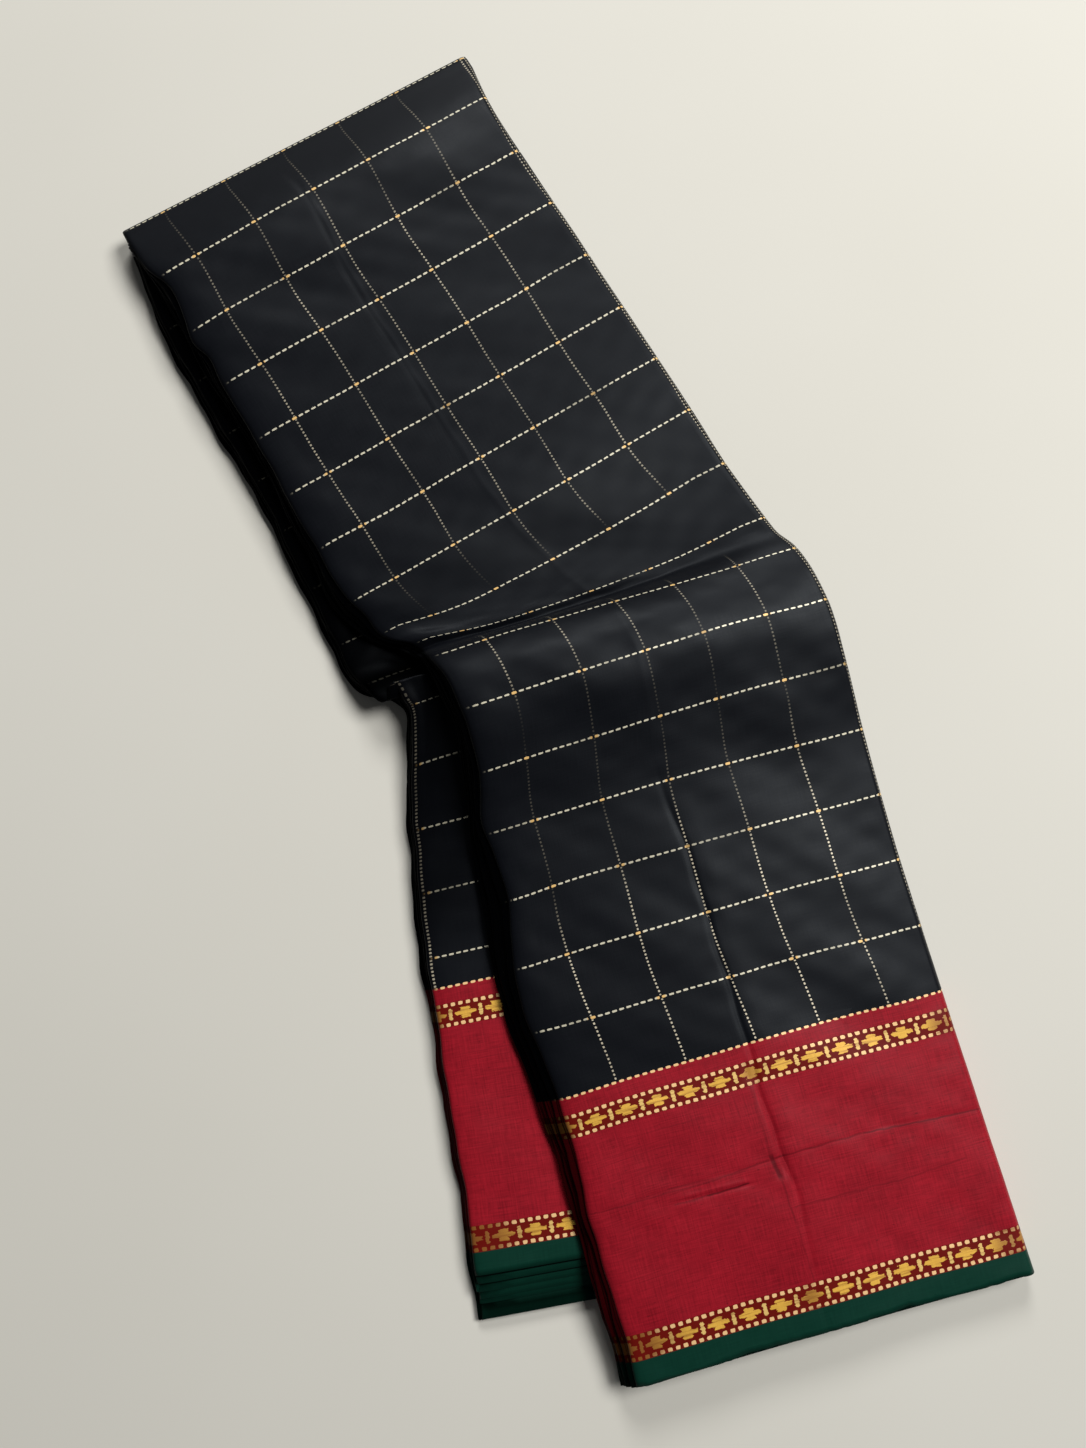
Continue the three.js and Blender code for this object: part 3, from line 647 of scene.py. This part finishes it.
def inner_leaves(tag, end_of, material, rows=150):
    """folded pairs of leaves inside a bundle, each closed on the left"""
    st = Stack(tag)
    co, faces, uvs, edges, wear_and_shades = [], [], [], [], []
    start, above = 0.34, UPPER_LAST if tag == "upper" else UNDER_END
    base_s = np.concatenate([np.linspace(start, 7.6, 42, endpoint=False), np.linspace(7.6, 11.6, 48, endpoint=False),
                             np.linspace(11.6, end_of(0.5, 0.5), rows - 90)])
    base_t = (base_s - start) / (base_s[-1] - start)
    shares = np.array([1, 0.86, 0.66, 0.46, 0.30, 0.18, 0.095, 0.04, 0.012])
    count = 0
    for k in range(PAIRS):
        # heights of the pair's two runs, as shares of the bundle from the top down
        f_a = 1 - (2 * k + 1) / (2 * PAIRS + 1)
        f_b = 1 - (2 * k + 2) / (2 * PAIRS + 1)
        g = np.random.default_rng(100 + k + (50 if tag == "under" else 0))
        offset = g.uniform(-0.9, 0.9) + (1.0 if k % 4 == 1 else 0.0)
        columns = []
        for run, shares_ in (("a", shares), ("arc", [110, 145, 180, 215, 250]), ("b", shares[::-1])):
            for v in shares_:
                columns.append((run, v))
        cols = []
        for c, (run, v) in enumerate(columns):
            part = 0.0 if run == "a" else 1.0 if run == "b" else (v - 90) / 180
            f = f_a + (f_b - f_a) * part
            stop = end_of(f, 0.0 if run == "arc" else v)
            s = (start + (stop - start) * base_t)[:, None]
            w = st.width(s)
            fl = st.flare(s)
            reach = fl * (1 - (f_a + f_b) / 2) ** 0.85
            tip = 1.0 - reach - offset * np.clip(fl / 6, 0.3, 1) + edge_wander(s, 300 + k, 0.8)
            tip = np.minimum(tip, 1.2)
            if run == "arc":
                fm, half = (f_a + f_b) / 2, (f_a - f_b) / 2
                r = math.radians(v)
                d = tip + 0.5 + 0.5 * math.cos(r)
                ff = fm + half * math.sin(r)
            else:
                right = w - SPINE - 0.4
                d = tip + 0.5 + (right - tip - 0.5) * v
                ff = f
            zt, zb = st.top(s, d) - SILK * 1.2, st.base(s, d) + SILK * 1.2
            z = zb + (zt - zb) * ff
            x, y = st.place(s, d, np.clip(ff, 0, 1) ** 3)
            # painted shade: dark in the gap beside the leaf above, and along the folded left edges
            past = (s - (end_of(f_a, 0.5) if run == "b" else above)) * CHECK
            gap = 0.06 + 0.94 * ease(past, 0.2, 2.0 if tag == "under" else 7.0)
            if tag == "under" and f_a < 0.38:       # the lowest leaves lie deepest in shade
                gap = 0.04 + 0.56 * ease(past, 1.4, 5.5)
            fold = 0.08 + 0.92 * ease(d - tip + 0 * s, 3.0, 14.0)
            cols.append((x, y, z, s, d - tip + 0 * s, np.where(past > 0, gap, fold)))
        X, Y, Z, S, U, W = (np.concatenate([q[i] for q in cols], 1) for i in range(6))
        above = end_of(f_b, 0.5)
        weave, edge = coordinates(tag, S, U, lines=False)
        n, m = X.shape
        co.append(np.stack([(X - ORIGIN[0]) / 1000, (Y - ORIGIN[1]) / 1000, Z / 1000], -1).reshape(-1, 3))
        i, j = np.meshgrid(np.arange(n - 1), np.arange(m - 1), indexing="ij")
        a = (i * m + j).ravel() + count
        faces.append(np.stack([a, a + 1, a + m + 1, a + m], -1))
        uvs.append(weave.reshape(-1, 2)); edges.append(edge.reshape(-1, 2))
        wear_and_shades.append(np.stack([np.ones(W.shape), W], -1).reshape(-1, 2))
        count += n * m
    return raw_mesh(f"inner_leaves_{tag}", np.concatenate(co), np.concatenate(faces), np.concatenate(uvs),
                    np.concatenate(edges), np.concatenate(wear_and_shades), material, SILK, 0.0)


# ---------------------------------------------------------------- material
class Net:
    """short names for the shader's arithmetic nodes"""
    def __init__(self, name):
        self.mat = bpy.data.materials.new(name)
        self.mat.use_nodes = True
        self.tree = self.mat.node_tree
        self.tree.nodes.clear()

    def node(self, kind, **props):
        n = self.tree.nodes.new(kind)
        for k, v in props.items():
            setattr(n, k, v)
        return n

    def put(self, socket, value):
        if isinstance(value, bpy.types.NodeSocket):
            self.tree.links.new(value, socket)
        elif value is not None:
            socket.default_value = value

    def math(self, op, a, b=None, c=None, clamp=False):
        n = self.node("ShaderNodeMath", operation=op, use_clamp=clamp)
        for s, v in zip(n.inputs, (a, b, c)):
            self.put(s, v)
        return n.outputs[0]

    def add(self, a, b): return self.math("ADD", a, b)
    def sub(self, a, b): return self.math("SUBTRACT", a, b)
    def mul(self, a, b): return self.math("MULTIPLY", a, b)
    def most(self, a, b): return self.math("MAXIMUM", a, b)
    def least(self, a, b): return self.math("MINIMUM", a, b)
    def apart(self, a, b): return self.math("ABSOLUTE", self.sub(a, b))
    def near_whole(self, a): return self.math("PINGPONG", a, 0.5)

    def step(self, x, low, high, a=0.0, b=1.0):
        n = self.node("ShaderNodeMapRange", interpolation_type="SMOOTHSTEP")
        for s, v in zip(n.inputs, (x, low, high, a, b)):
            self.put(s, v)
        return n.outputs[0]

    def between(self, x, low, high, soft=0.12):
        return self.mul(self.step(x, low - soft, low + soft), self.step(x, high - soft, high + soft, 1.0, 0.0))

    def box(self, x, y, half_x, half_y, soft=0.18):
        """a rounded block of thread: x and y are distances from its middle, mm"""
        a = self.math("POWER", self.math("DIVIDE", x, half_x), 4.0)
        b = self.math("POWER", self.math("DIVIDE", y, half_y), 4.0)
        return self.step(self.add(a, b), 1.0 + soft, 1.0 - soft, 0.0, 1.0)

    def mix(self, t, a, b):
        n = self.node("ShaderNodeMix", data_type="RGBA", blend_type="MIX")
        self.put(n.inputs[0], t)
        self.put(n.inputs[6], a if isinstance(a, bpy.types.NodeSocket) else (*a, 1))
        self.put(n.inputs[7], b if isinstance(b, bpy.types.NodeSocket) else (*b, 1))
        return n.outputs[2]

    def noise(self, vector, scale, detail=2.0, rough=0.5):
        n = self.node("ShaderNodeTexNoise")
        self.put(n.inputs["Vector"], vector)
        n.inputs["Scale"].default_value = scale
        n.inputs["Detail"].default_value = detail
        n.inputs["Roughness"].default_value = rough
        return n.outputs["Fac"]

    def join(self, x, y, z=0.0):
        n = self.node("ShaderNodeCombineXYZ")
        for s, v in zip(n.inputs, (x, y, z)):
            self.put(s, v)
        return n.outputs[0]


BLACK = (0.0033, 0.0039, 0.0060)
RED = (0.292, 0.0076, 0.0170)
GREEN = (0.0028, 0.0350, 0.0220)
MAROON = (0.150, 0.0060, 0.0030)
GOLD = (0.98, 0.56, 0.085)
STRAW = (0.98, 0.66, 0.22)
CREAM = (0.68, 0.64, 0.49)
BEAD = (0.99, 0.64, 0.31)
ORANGE = (0.86, 0.55, 0.20)
# brown of the gold: worn metal, and painted shade where the bands turn away
SHADED_WORN_GOLD = (0.30, 0.105, 0.020)


def silk_material():
    n = Net("saree_silk")
    out = n.node("ShaderNodeOutputMaterial")
    skin = n.node("ShaderNodeBsdfPrincipled")
    n.tree.links.new(skin.outputs[0], out.inputs[0])
    weave = n.node("ShaderNodeUVMap", uv_map="weave")
    edge = n.node("ShaderNodeUVMap", uv_map="edge")
    wear_and_shade = n.node("ShaderNodeUVMap", uv_map="wear_and_shade")
    sep = n.node("ShaderNodeSeparateXYZ"); n.put(sep.inputs[0], weave.outputs[0])
    sep2 = n.node("ShaderNodeSeparateXYZ"); n.put(sep2.inputs[0], edge.outputs[0])
    sep3 = n.node("ShaderNodeSeparateXYZ"); n.put(sep3.inputs[0], wear_and_shade.outputs[0])
    u, v = sep.outputs[0], sep.outputs[1]
    shows, painted_shade_and_rub = sep3.outputs[0], sep3.outputs[1]
    x = n.mul(sep2.outputs[0], 100.0)      # mm across
    b = n.mul(sep2.outputs[1], 100.0)      # mm past the seam

    # handwoven lines wander a little
    sway = n.sub(n.noise(n.join(u, v), 1.7, 1.0), 0.5)
    tick = n.sub(n.noise(n.join(u, v, 3.0), 22.0, 1.0), 0.5)
    v2 = n.add(v, n.add(n.mul(sway, 0.014), n.mul(tick, 0.010)))
    u2 = n.add(u, n.add(n.mul(sway, 0.014), n.mul(tick, 0.008)))

    # field: dashes along the rows, dots along the columns
    field = n.step(b, -0.9, -0.3, 1.0, 0.0)
    row = n.mul(n.near_whole(v2), CHECK)
    dash_x = n.mul(n.sub(0.5, n.near_whole(n.math("DIVIDE", x, 3.05))), 3.05)
    column = n.mul(n.near_whole(u2), CHECK)
    dot_y = n.mul(n.sub(0.5, n.near_whole(n.mul(v, 17.5))), CHECK / 17.5)
    crossing = n.mul(n.step(column, 1.3, 2.2, 1.0, 0.0), n.step(row, 1.6, 2.4, 1.0, 0.0))
    dash = n.box(dash_x, row, 1.02, n.add(0.38, n.mul(crossing, 0.14)))
    dot = n.mul(n.box(column, dot_y, 0.38, 0.42), n.step(row, 0.5, 1.0))
    rim_line = n.math("ABSOLUTE", n.sub(n.mul(n.sub(u, 5.0), CHECK), 1.9))
    dot = n.most(dot, n.box(rim_line, dot_y, 0.36, 0.38))
    worn = n.mul(n.step(n.noise(n.join(u, v, 9.0), 1.6, 2.0), 0.30, 0.62, 0.60, 1.15), shows)
    clear = n.step(b, -7.0, -5.0, 1.0, 0.0)
    rim = n.step(x, 1.2, 5.5, 0.0, 1.0)
    faint = n.step(n.noise(n.join(n.mul(x, 0.02), v, 4.0), 1.3, 1.0), 0.30, 0.42, 0.55, 1.0)
    dash = n.mul(n.mul(n.mul(dash, clear), n.step(v, -0.3, -0.2)), n.mul(rim, faint))
    dot = n.mul(n.mul(dot, field), worn)

    # seam: a row of square stitches of zari
    pitch = 3.3
    jog = n.mul(tick, 0.35)
    cell = n.mul(n.sub(0.5, n.near_whole(n.math("DIVIDE", n.add(x, jog), pitch))), pitch)
    seam = n.mul(n.box(cell, n.math("ABSOLUTE", b), 1.00, 0.50), n.step(x, 0.5, 4.0))
    fray = n.sub(n.noise(n.join(n.mul(x, 0.9), n.mul(b, 1.3), 11.0), 1.0, 1.0), 0.5)

    # the two bands: ground, beads along both sides, crosses and posts between
    def band(middle, fades):
        across_band = n.sub(b, middle)
        y = n.math("ABSOLUTE", n.add(across_band, jog))
        ground = n.step(n.math("ABSOLUTE", across_band), 4.95, 5.2, 1.0, 0.0)
        bead = n.box(n.add(cell, n.mul(fray, 0.5)), n.math("ABSOLUTE", n.sub(y, 4.2)), 0.95, 0.74)
        period = 13.2
        cx = n.mul(n.near_whole(n.math("DIVIDE", n.add(x, n.mul(jog, 1.5)), period)), period)
        cx, y = n.add(cx, n.mul(fray, 1.5)), n.add(y, n.mul(fray, 0.8))
        post = n.sub(period / 2, cx)
        arm = n.box(cx, y, 4.6, 0.90)
        cap = n.box(cx, n.math("ABSOLUTE", n.sub(y, 1.62)), n.add(2.05, n.mul(tick, 1.2)), 0.74)
        bar = n.box(post, y, n.add(0.82, n.mul(n.math("COSINE", n.mul(y, 3.4)), 0.10)), 2.45)
        # the gold browns toward both edges and where the middle line crosses: partly worn metal, partly painted shade
        # where the band turns away round the spine
        left = n.step(x, fades[0], fades[1])
        right = n.step(x, 153.0, 162.0, 1.0, 0.0)
        middle_fold = n.step(n.apart(x, 79.0), 1.5, 6.5)
        patch = n.step(n.noise(n.join(n.mul(x, 0.06), b, middle), 1.0, 2.0), 0.34, 0.52, 0.45, 1.0)
        bright = n.mul(n.mul(left, n.add(0.25, n.mul(right, 0.75))), n.mul(n.add(0.35, n.mul(middle_fold, 0.65)), patch))
        return ground, n.mul(bead, ground), n.mul(n.most(arm, cap), ground), n.mul(bar, ground), n.mul(bright, ground)
    inner, outer = band(12.0, (-1.0, 9.0)), band(105.0, (4.0, 34.0))
    ground, beads, figure, posts, bright = (n.most(p, q) for p, q in zip(inner, outer))

    # thread: slubs along both ways of the weave
    weft = n.noise(n.join(n.mul(x, 0.10), n.mul(b, 1.9)), 1.0, 3.0, 0.6)
    warp = n.noise(n.join(n.mul(x, 1.9), n.mul(b, 0.10), 5.0), 1.0, 3.0, 0.6)
    slub = n.add(n.sub(weft, 0.5), n.sub(warp, 0.5))
    cloud = n.sub(n.noise(n.join(x, b, 1.0), 0.035, 3.0), 0.5)

    shade = n.math("ADD", 0.5, n.add(n.mul(slub, 0.6), n.mul(cloud, 0.8)), clamp=True)
    black = n.mix(shade, tuple(c * 0.80 for c in BLACK), tuple(c * 1.20 for c in BLACK))
    shade = n.math("ADD", 0.5, n.add(n.mul(slub, 1.50), n.mul(cloud, 0.8)), clamp=True)
    red = n.mix(shade, tuple(c * 0.68 for c in RED), tuple(c * 1.32 for c in RED))
    weft_line = n.step(n.noise(n.join(n.mul(x, 0.014), n.mul(b, 1.0), 21.0), 1.0, 1.0), 0.66, 0.72)
    warp_line = n.step(n.noise(n.join(n.mul(x, 1.0), n.mul(b, 0.014), 22.0), 1.0, 1.0), 0.66, 0.72)
    red = n.mix(n.mul(n.most(weft_line, n.mul(warp_line, 0.7)), 0.26), red, (0.13, 0.005, 0.010))
    fleck = n.step(n.noise(n.join(n.mul(x, 0.50), n.mul(b, 1.2), 7.0), 1.0, 0.0), 0.78, 0.84)
    red = n.mix(n.mul(fleck, 0.55), red, (0.10, 0.004, 0.008))
    stray = n.mul(n.sub(n.noise(n.join(n.mul(x, 0.16), 0.0, 31.0), 1.0, 2.0), 0.5), 1.6)
    # painted shade: thin dark lines along the creases of the red silk
    crease_shade = None
    for s0, x0, s1, x1, strength in CREASE_SHADE:
        at = n.add(n.mul(n.sub(x, x0), (s1 - s0) / (x1 - x0)), s0)
        off = n.math("ABSOLUTE", n.add(n.mul(n.sub(v, at), CHECK), stray))
        line = n.mul(n.step(off, 0.15, 0.60, 1.0, 0.0), n.mul(n.between(x, x0, x1, 0.6), strength))
        crease_shade = line if crease_shade is None else n.most(crease_shade, line)
    for s0, x0, s1, x1, strength, half in CREASE_SHADE_UP:
        at = n.add(n.mul(n.sub(v, s0), (x1 - x0) / (s1 - s0)), x0)
        off = n.math("ABSOLUTE", n.add(n.sub(x, at), n.mul(n.sub(n.noise(n.join(0.0, n.mul(b, 0.12), 33.0), 1.0, 2.0), 0.5), 1.6)))
        line = n.mul(n.step(off, half * 0.4, half * 1.5, 1.0, 0.0), n.mul(n.between(v, s0, s1, 0.05), strength))
        crease_shade = n.most(crease_shade, line)
    red = n.mix(n.mul(crease_shade, 0.80), red, (0.085, 0.003, 0.006))
    green = n.mix(n.math("ADD", 0.5, slub, clamp=True), tuple(c * 0.80 for c in GREEN), tuple(c * 1.20 for c in GREEN))

    colour = n.mix(n.step(b, -0.25, 0.25), black, red)
    colour = n.mix(n.step(b, 109.8, 110.3), colour, green)
    colour = n.mix(ground, colour, MAROON)
    thin = n.math("ADD", 0.5, n.mul(slub, 1.2), clamp=True)
    gold = n.mix(bright, SHADED_WORN_GOLD, n.mix(thin, tuple(c * 0.78 for c in GOLD), GOLD))
    straw = n.mix(bright, SHADED_WORN_GOLD, n.mix(thin, tuple(c * 0.80 for c in STRAW), STRAW))
    bead_colour = n.mix(n.step(bright, 0.0, 0.6), SHADED_WORN_GOLD, BEAD)
    colour = n.mix(posts, colour, straw)
    colour = n.mix(figure, colour, gold)
    colour = n.mix(dot, colour, (0.68, 0.61, 0.46))
    colour = n.mix(dash, colour, n.mix(crossing, CREAM, ORANGE))
    colour = n.mix(beads, colour, bead_colour)
    colour = n.mix(seam, colour, BEAD)
    thread = n.most(n.most(dash, n.mul(dot, 0.7)), n.most(n.most(beads, seam), n.most(figure, posts)))

    # painted shade: the per-vertex shade value darkens the colour here and the specular level below
    colour = n.mix(painted_shade_and_rub, (0.0, 0.0, 0.0), colour)
    n.put(skin.inputs["Base Color"], colour)
    n.put(skin.inputs["Metallic"], n.mul(thread, 0.14))
    n.put(skin.inputs["Roughness"], n.sub(n.add(0.46, n.mul(slub, 0.10)), n.mul(thread, 0.04)))
    skin.inputs["Specular IOR Level"].default_value = 0.15
    n.put(skin.inputs["Specular IOR Level"], n.mul(n.add(0.15, n.mul(thread, 0.30)), painted_shade_and_rub))
    skin.inputs["Specular Tint"].default_value = (0.86, 0.93, 1.0, 1)
    skin.inputs["Sheen Weight"].default_value = 0.010
    skin.inputs["Sheen Roughness"].default_value = 0.40
    skin.inputs["Sheen Tint"].default_value = (0.80, 0.86, 1.0, 1)

    # weave: fine over-and-under threads, slubs, and zari standing proud
    fine = n.mul(n.math("SINE", n.mul(x, 6.283 / 0.55)), n.math("SINE", n.mul(b, 6.283 / 0.55)))
    height = n.add(n.add(n.mul(fine, 0.06), n.mul(slub, 0.35)), n.mul(thread, 0.6))
    rise = n.node("ShaderNodeBump")
    rise.inputs["Strength"].default_value = 0.35
    rise.inputs["Distance"].default_value = 0.00012
    n.put(rise.inputs["Height"], height)
    n.put(skin.inputs["Normal"], rise.outputs[0])
    return n.mat


silk = silk_material()

# ---------------------------------------------------------------- pieces
UPPER_LAST = 21.11


def upper_cut(f, v):
    """where each inner leaf of the upper bundle is cut: they look out a little, most on the left"""
    look_out = 0.120 * math.exp(-((v - 0.20) / 0.15) ** 2) + 0.130 * math.exp(-((v - 0.66) / 0.26) ** 2)
    return UPPER_LAST + 0.008 * math.sin(f * 31.0 + v * 9.0) - 0.004 + 0.014 * (1 - f) + look_out * (1 - 0.4 * f)


def under_cut(f, v):
    """the inner leaves of the under bundle step out one behind another"""
    steps = [(0.86, 18.42), (0.74, 18.53), (0.62, 18.63), (0.50, 18.73), (0.36, 18.80), (0.0, 19.02)]
    for low, at in steps:
        if f >= low:
            return at + 0.010 * math.sin(f * 57.0)
    return steps[-1][1]


leaf_upper = outer_leaf("upper", UPPER_LAST, silk)
leaf_under = outer_leaf("under", UNDER_END, silk)
inner_upper = inner_leaves("upper", upper_cut, silk)
inner_under = inner_leaves("under", under_cut, silk)

ZONES = ["field", "red_strip", "zari_band_inner", "red_border", "zari_band_outer", "selvedge"]
for piece in (leaf_upper, leaf_under, inner_upper, inner_under):
    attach(piece, "root")
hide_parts(*[f"{z}_upper" for z in ZONES], "fold_cover")
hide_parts(*[f"{z}_under" for z in ZONES], "sole_field", "sole_border", "sole_selvedge")
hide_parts("inner_field_upper", "inner_border_upper", "inner_selvedge_upper", "inner_fold")
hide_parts("inner_field_under", "inner_border_under", "inner_selvedge_under")

# ---------------------------------------------------------------- floor, light, camera
me = bpy.data.meshes.new("floor")
q = 3.0
me.from_pydata([(-q, -q, -0.0002), (q, -q, -0.0002), (q, q, -0.0002), (-q, q, -0.0002)], [], [(0, 1, 2, 3)])
floor = bpy.data.objects.new("floor", me)
bpy.context.scene.collection.objects.link(floor)
f = Net("pale_floor")
fo = f.node("ShaderNodeOutputMaterial"); fs = f.node("ShaderNodeBsdfPrincipled")
f.tree.links.new(fs.outputs[0], fo.inputs[0])
fc = f.node("ShaderNodeTexCoord")
grain = f.noise(fc.outputs["Object"], 3.0, 3.0)
f.put(fs.inputs["Base Color"], f.mix(grain, (0.66, 0.645, 0.585), (0.74, 0.73, 0.68)))
fs.inputs["Roughness"].default_value = 0.9
fs.inputs["Specular IOR Level"].default_value = 0.1
me.materials.append(f.mat)

TILT, TURN_Z, HIGH, FOCUS = 6.6, -24.0, 566.0, 1300.0   # camera: degrees from straight down, turn of the plan, mm, pixels
turned = Matrix.Rotation(math.radians(TURN_Z), 4, "Z")
tip = math.radians(TILT)
axes = Matrix(((1, 0, 0, 0), (0, math.cos(tip), -math.sin(tip), 0), (0, math.sin(tip), math.cos(tip), 0), (0, 0, 0, 1)))
cam_data = bpy.data.cameras.new("camera")
cam_data.sensor_width = 36.0
cam_data.lens = FOCUS / 1448 * 36.0
cam = bpy.data.objects.new("camera", cam_data)
bpy.context.scene.collection.objects.link(cam)
cam.matrix_world = Matrix.Translation((-ORIGIN[0] / 1000, -ORIGIN[1] / 1000, HIGH / 1000)) @ turned @ axes
bpy.context.scene.camera = cam


def area_light(name, towards, elevation, distance, size, power, colour):
    """a soft panel, placed by its direction in the picture's plane: degrees anticlockwise from the right"""
    a, e = math.radians(towards + TURN_Z), math.radians(elevation)
    place = Vector((math.cos(a) * math.cos(e), math.sin(a) * math.cos(e), math.sin(e))) * distance
    light = bpy.data.lights.new(name, "AREA")
    light.shape = "DISK"; light.size = size; light.energy = power; light.color = colour
    ob = bpy.data.objects.new(name, light)
    bpy.context.scene.collection.objects.link(ob)
    ob.matrix_world = Matrix.Translation(place) @ (-place).to_track_quat("-Z", "Y").to_matrix().to_4x4()
    return ob


area_light("key", 28, 56, 2.0, 0.9, 34, (1.0, 0.985, 0.955))
area_light("top", 92, 36, 2.6, 0.9, 30, (1.0, 0.99, 0.97))
world = bpy.data.worlds.new("soft_room")
bpy.context.scene.world = world
world.use_nodes = True
world.node_tree.nodes["Background"].inputs[0].default_value = (0.97, 0.98, 1.0, 1)
world.node_tree.nodes["Background"].inputs[1].default_value = 0.05
bpy.context.scene.view_settings.view_transform = "Standard"

bpy.context.view_layer.update()
